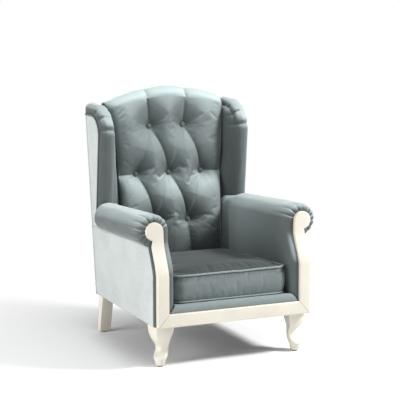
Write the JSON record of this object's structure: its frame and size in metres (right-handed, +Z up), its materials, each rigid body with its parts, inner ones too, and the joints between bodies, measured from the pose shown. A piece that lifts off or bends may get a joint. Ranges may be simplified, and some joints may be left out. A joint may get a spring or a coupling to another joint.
{
  "type": "wingback armchair",
  "caption": "Upholstered wingback armchair with a buttoned back, rolled arms, painted arm facings, cabriole front legs and a loose seat cushion that lifts out.",
  "frame": {"origin": "on the floor, at the middle of the chair's width and depth", "axes": "+Z up, the chair faces -Y, +X towards the sitter's left"},
  "size_m": [0.7966, 0.82, 1.0657],
  "materials": {
    "velvet": "blue-grey velvet pile",
    "cream_paint": "satin cream paint",
    "bare_beech": "planed, unfinished",
    "steel": "zinc plated",
    "webbing": "woven jute",
    "lining": "black non-woven",
    "zip_tape": "woven tape",
    "glide_plastic": "matte"
  },
  "bodies": {
    "chair": {"seat_front_rail": "bare_beech", "seat_back_rail": "bare_beech", "seat_side_rail_left": "bare_beech", "seat_side_rail_right": "bare_beech", "corner_blocks": "bare_beech", "arm_post_left": "bare_beech", "arm_post_right": "bare_beech", "arm_rail_left": "bare_beech", "arm_rail_right": "bare_beech", "back_post_left": "bare_beech", "back_post_right": "bare_beech", "back_crest_rail": "bare_beech", "back_lower_rail": "bare_beech", "wing_frame_left": "bare_beech", "wing_frame_right": "bare_beech", "seat_springs": "steel", "spring_clips": "steel", "seat_deck": "velvet", "back_webbing": "webbing", "back_pad": "velvet", "crest_roll": "velvet", "tuft_buttons": "velvet", "button_ties": "webbing", "arm_pad_left": "velvet", "arm_pad_right": "velvet", "outer_arm_panel_left": "velvet", "outer_arm_panel_right": "velvet", "wing_pad_left": "velvet", "wing_pad_right": "velvet", "wing_outer_panel_left": "velvet", "wing_outer_panel_right": "velvet", "wing_piping_left": "velvet", "wing_piping_right": "velvet", "outer_back_panel": "velvet", "front_border": "velvet", "arm_facing_left": "cream_paint", "arm_facing_right": "cream_paint", "front_trim_rail": "cream_paint", "front_leg_left": "cream_paint", "front_leg_right": "cream_paint", "rear_leg_left": "cream_paint", "rear_leg_right": "cream_paint", "glides": "glide_plastic", "leg_bolts": "steel", "dust_cover": "lining", "facing_screws": "steel"},
    "cushion": {"seat_cushion": "velvet", "cushion_piping": "velvet", "cushion_zip": "zip_tape"},
    "slider": {"zip_slider": "steel"}
  },
  "joints": [
    {"name": "cushion_lift", "type": "slide", "parent": "chair", "child": "cushion", "axis": [0, -0.2588, 0.9659], "range_m": [0, 0.45]},
    {"name": "zip_pull", "type": "slide", "parent": "cushion", "child": "slider", "axis": [-1, 0, 0], "range_m": [0, 0.311]}
  ]
}
